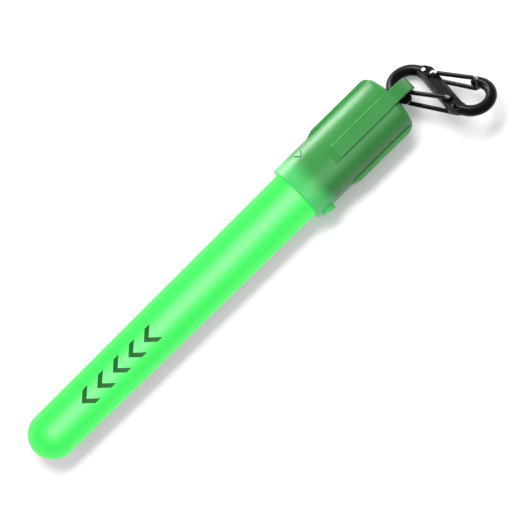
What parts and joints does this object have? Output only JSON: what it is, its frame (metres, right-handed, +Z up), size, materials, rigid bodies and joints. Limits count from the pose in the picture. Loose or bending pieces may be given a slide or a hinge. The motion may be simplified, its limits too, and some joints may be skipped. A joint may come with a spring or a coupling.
{
  "type": "light baton",
  "caption": "Slim hand-held LED glow baton: frosted green tube with domed tip, ribbed twist head with bail, and a black S-shaped clip with two wire gates.",
  "frame": {"origin": "middle of the bottom rib's flat face, which the baton lies on", "axes": "+X along the tube's axis from the domed tip towards the bail, +Z up"},
  "size_m": [0.1463, 0.028, 0.0176],
  "materials": {
    "head_green": "translucent green moulded plastic, satin",
    "tube_green": "frosted translucent green, lit from inside",
    "clip_black": "black satin coating on a metal casting",
    "gate_wire": "black coating on steel wire, worn bright at the bends",
    "carrier_black": "moulded",
    "cell_steel": "stamped nickel-plated steel",
    "spring_steel": "bright wire",
    "contact_brass": "stamped sheet",
    "board_green": "circuit board with solder mask",
    "chip_black": "moulded package",
    "capacitor_tan": "ceramic",
    "led_lens": "tinted clear epoxy",
    "white_plastic": "white",
    "seal_rubber": "smooth"
  },
  "bodies": {
    "head": {"head_shell": "head_green", "battery_carrier": "carrier_black", "button_cell_1": "cell_steel", "button_cell_2": "cell_steel", "button_cell_3": "cell_steel", "button_cell_4": "cell_steel", "battery_spring": "spring_steel", "negative_contact": "contact_brass", "positive_contact": "contact_brass", "circuit_board": "board_green", "controller_chip": "chip_black", "resistor": "chip_black", "capacitor": "capacitor_tan", "switch_contacts": "contact_brass", "led": "led_lens", "led_leads": "spring_steel", "led_reflector": "white_plastic"},
    "tube": {"light_tube": "tube_green", "o_ring": "seal_rubber", "diffuser_liner": "white_plastic", "contact_ring": "contact_brass"},
    "clip": {"clip_frame": "clip_black"},
    "outer_gate_body": {"outer_gate": "gate_wire"},
    "inner_gate_body": {"inner_gate": "gate_wire"}
  },
  "joints": [
    {"name": "head_twist", "type": "hinge", "parent": "head", "child": "tube", "pos_m": [-0.0225, 0, 0.00882], "axis": [1, 0, 0], "range_deg": [0, 60]},
    {"name": "clip_swing", "type": "hinge", "parent": "head", "child": "clip", "pos_m": [0.018, 0.00004, 0.00587], "axis": [0.4894, 0.1997, 0.8489], "range_deg": [-35, 90]},
    {"name": "outer_gate_open", "type": "hinge", "parent": "clip", "child": "outer_gate_body", "pos_m": [0.02292, -0.00166, 0.00552], "axis": [-0.2175, -0.5259, -0.8223], "range_deg": [0, 20], "stiffness_Nm_per_rad": 0.002, "springref_deg": -2.86},
    {"name": "inner_gate_open", "type": "hinge", "parent": "clip", "child": "inner_gate_body", "pos_m": [0.02107, -0.01224, 0.01277], "axis": [-0.2175, -0.5259, -0.8223], "range_deg": [0, 0.8], "stiffness_Nm_per_rad": 0.002, "springref_deg": -2.86}
  ]
}
